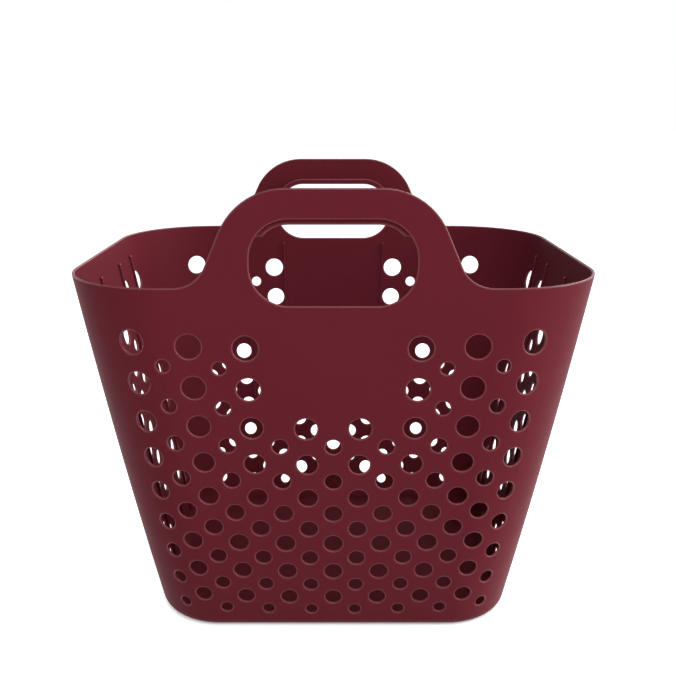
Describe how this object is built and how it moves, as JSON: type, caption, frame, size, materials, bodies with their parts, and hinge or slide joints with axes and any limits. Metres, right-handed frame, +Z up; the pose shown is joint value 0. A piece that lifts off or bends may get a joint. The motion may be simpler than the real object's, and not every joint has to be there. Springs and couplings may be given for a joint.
{
  "type": "shopping basket",
  "caption": "Flared moulded-plastic shopping basket with round perforations on all walls and an upright arch handle with a hand hole on each long side.",
  "frame": {"origin": "middle of the base on the floor, under the centre of the object's box", "axes": "+X along the long walls, +Y from the front wall to the back wall, +Z up"},
  "size_m": [0.399, 0.3092, 0.357],
  "materials": {
    "basket_plastic": "satin burgundy, soft moulded polyethylene"
  },
  "bodies": {
    "basket": {"base_pan": "basket_plastic", "front_panel": "basket_plastic", "back_panel": "basket_plastic", "front_rim_band": "basket_plastic", "back_rim_band": "basket_plastic", "right_end_wall": "basket_plastic", "left_end_wall": "basket_plastic", "corner_front_right": "basket_plastic", "corner_front_left": "basket_plastic", "corner_back_right": "basket_plastic", "corner_back_left": "basket_plastic", "front_ribs": "basket_plastic", "back_ribs": "basket_plastic", "right_end_ribs": "basket_plastic", "left_end_ribs": "basket_plastic"},
    "front_handle": {"front_handle": "basket_plastic", "front_grip_lip": "basket_plastic"},
    "back_handle": {"back_handle": "basket_plastic", "back_grip_lip": "basket_plastic"}
  },
  "joints": [
    {"name": "front_handle_flex", "type": "hinge", "parent": "basket", "child": "front_handle", "pos_m": [0, -0.15238, 0.2912], "axis": [-1, 0, 0], "range_deg": [0, 30], "stiffness_Nm_per_rad": 0.8},
    {"name": "back_handle_flex", "type": "hinge", "parent": "basket", "child": "back_handle", "pos_m": [0, 0.15238, 0.2912], "axis": [1, 0, 0], "range_deg": [0, 30], "stiffness_Nm_per_rad": 0.8}
  ]
}
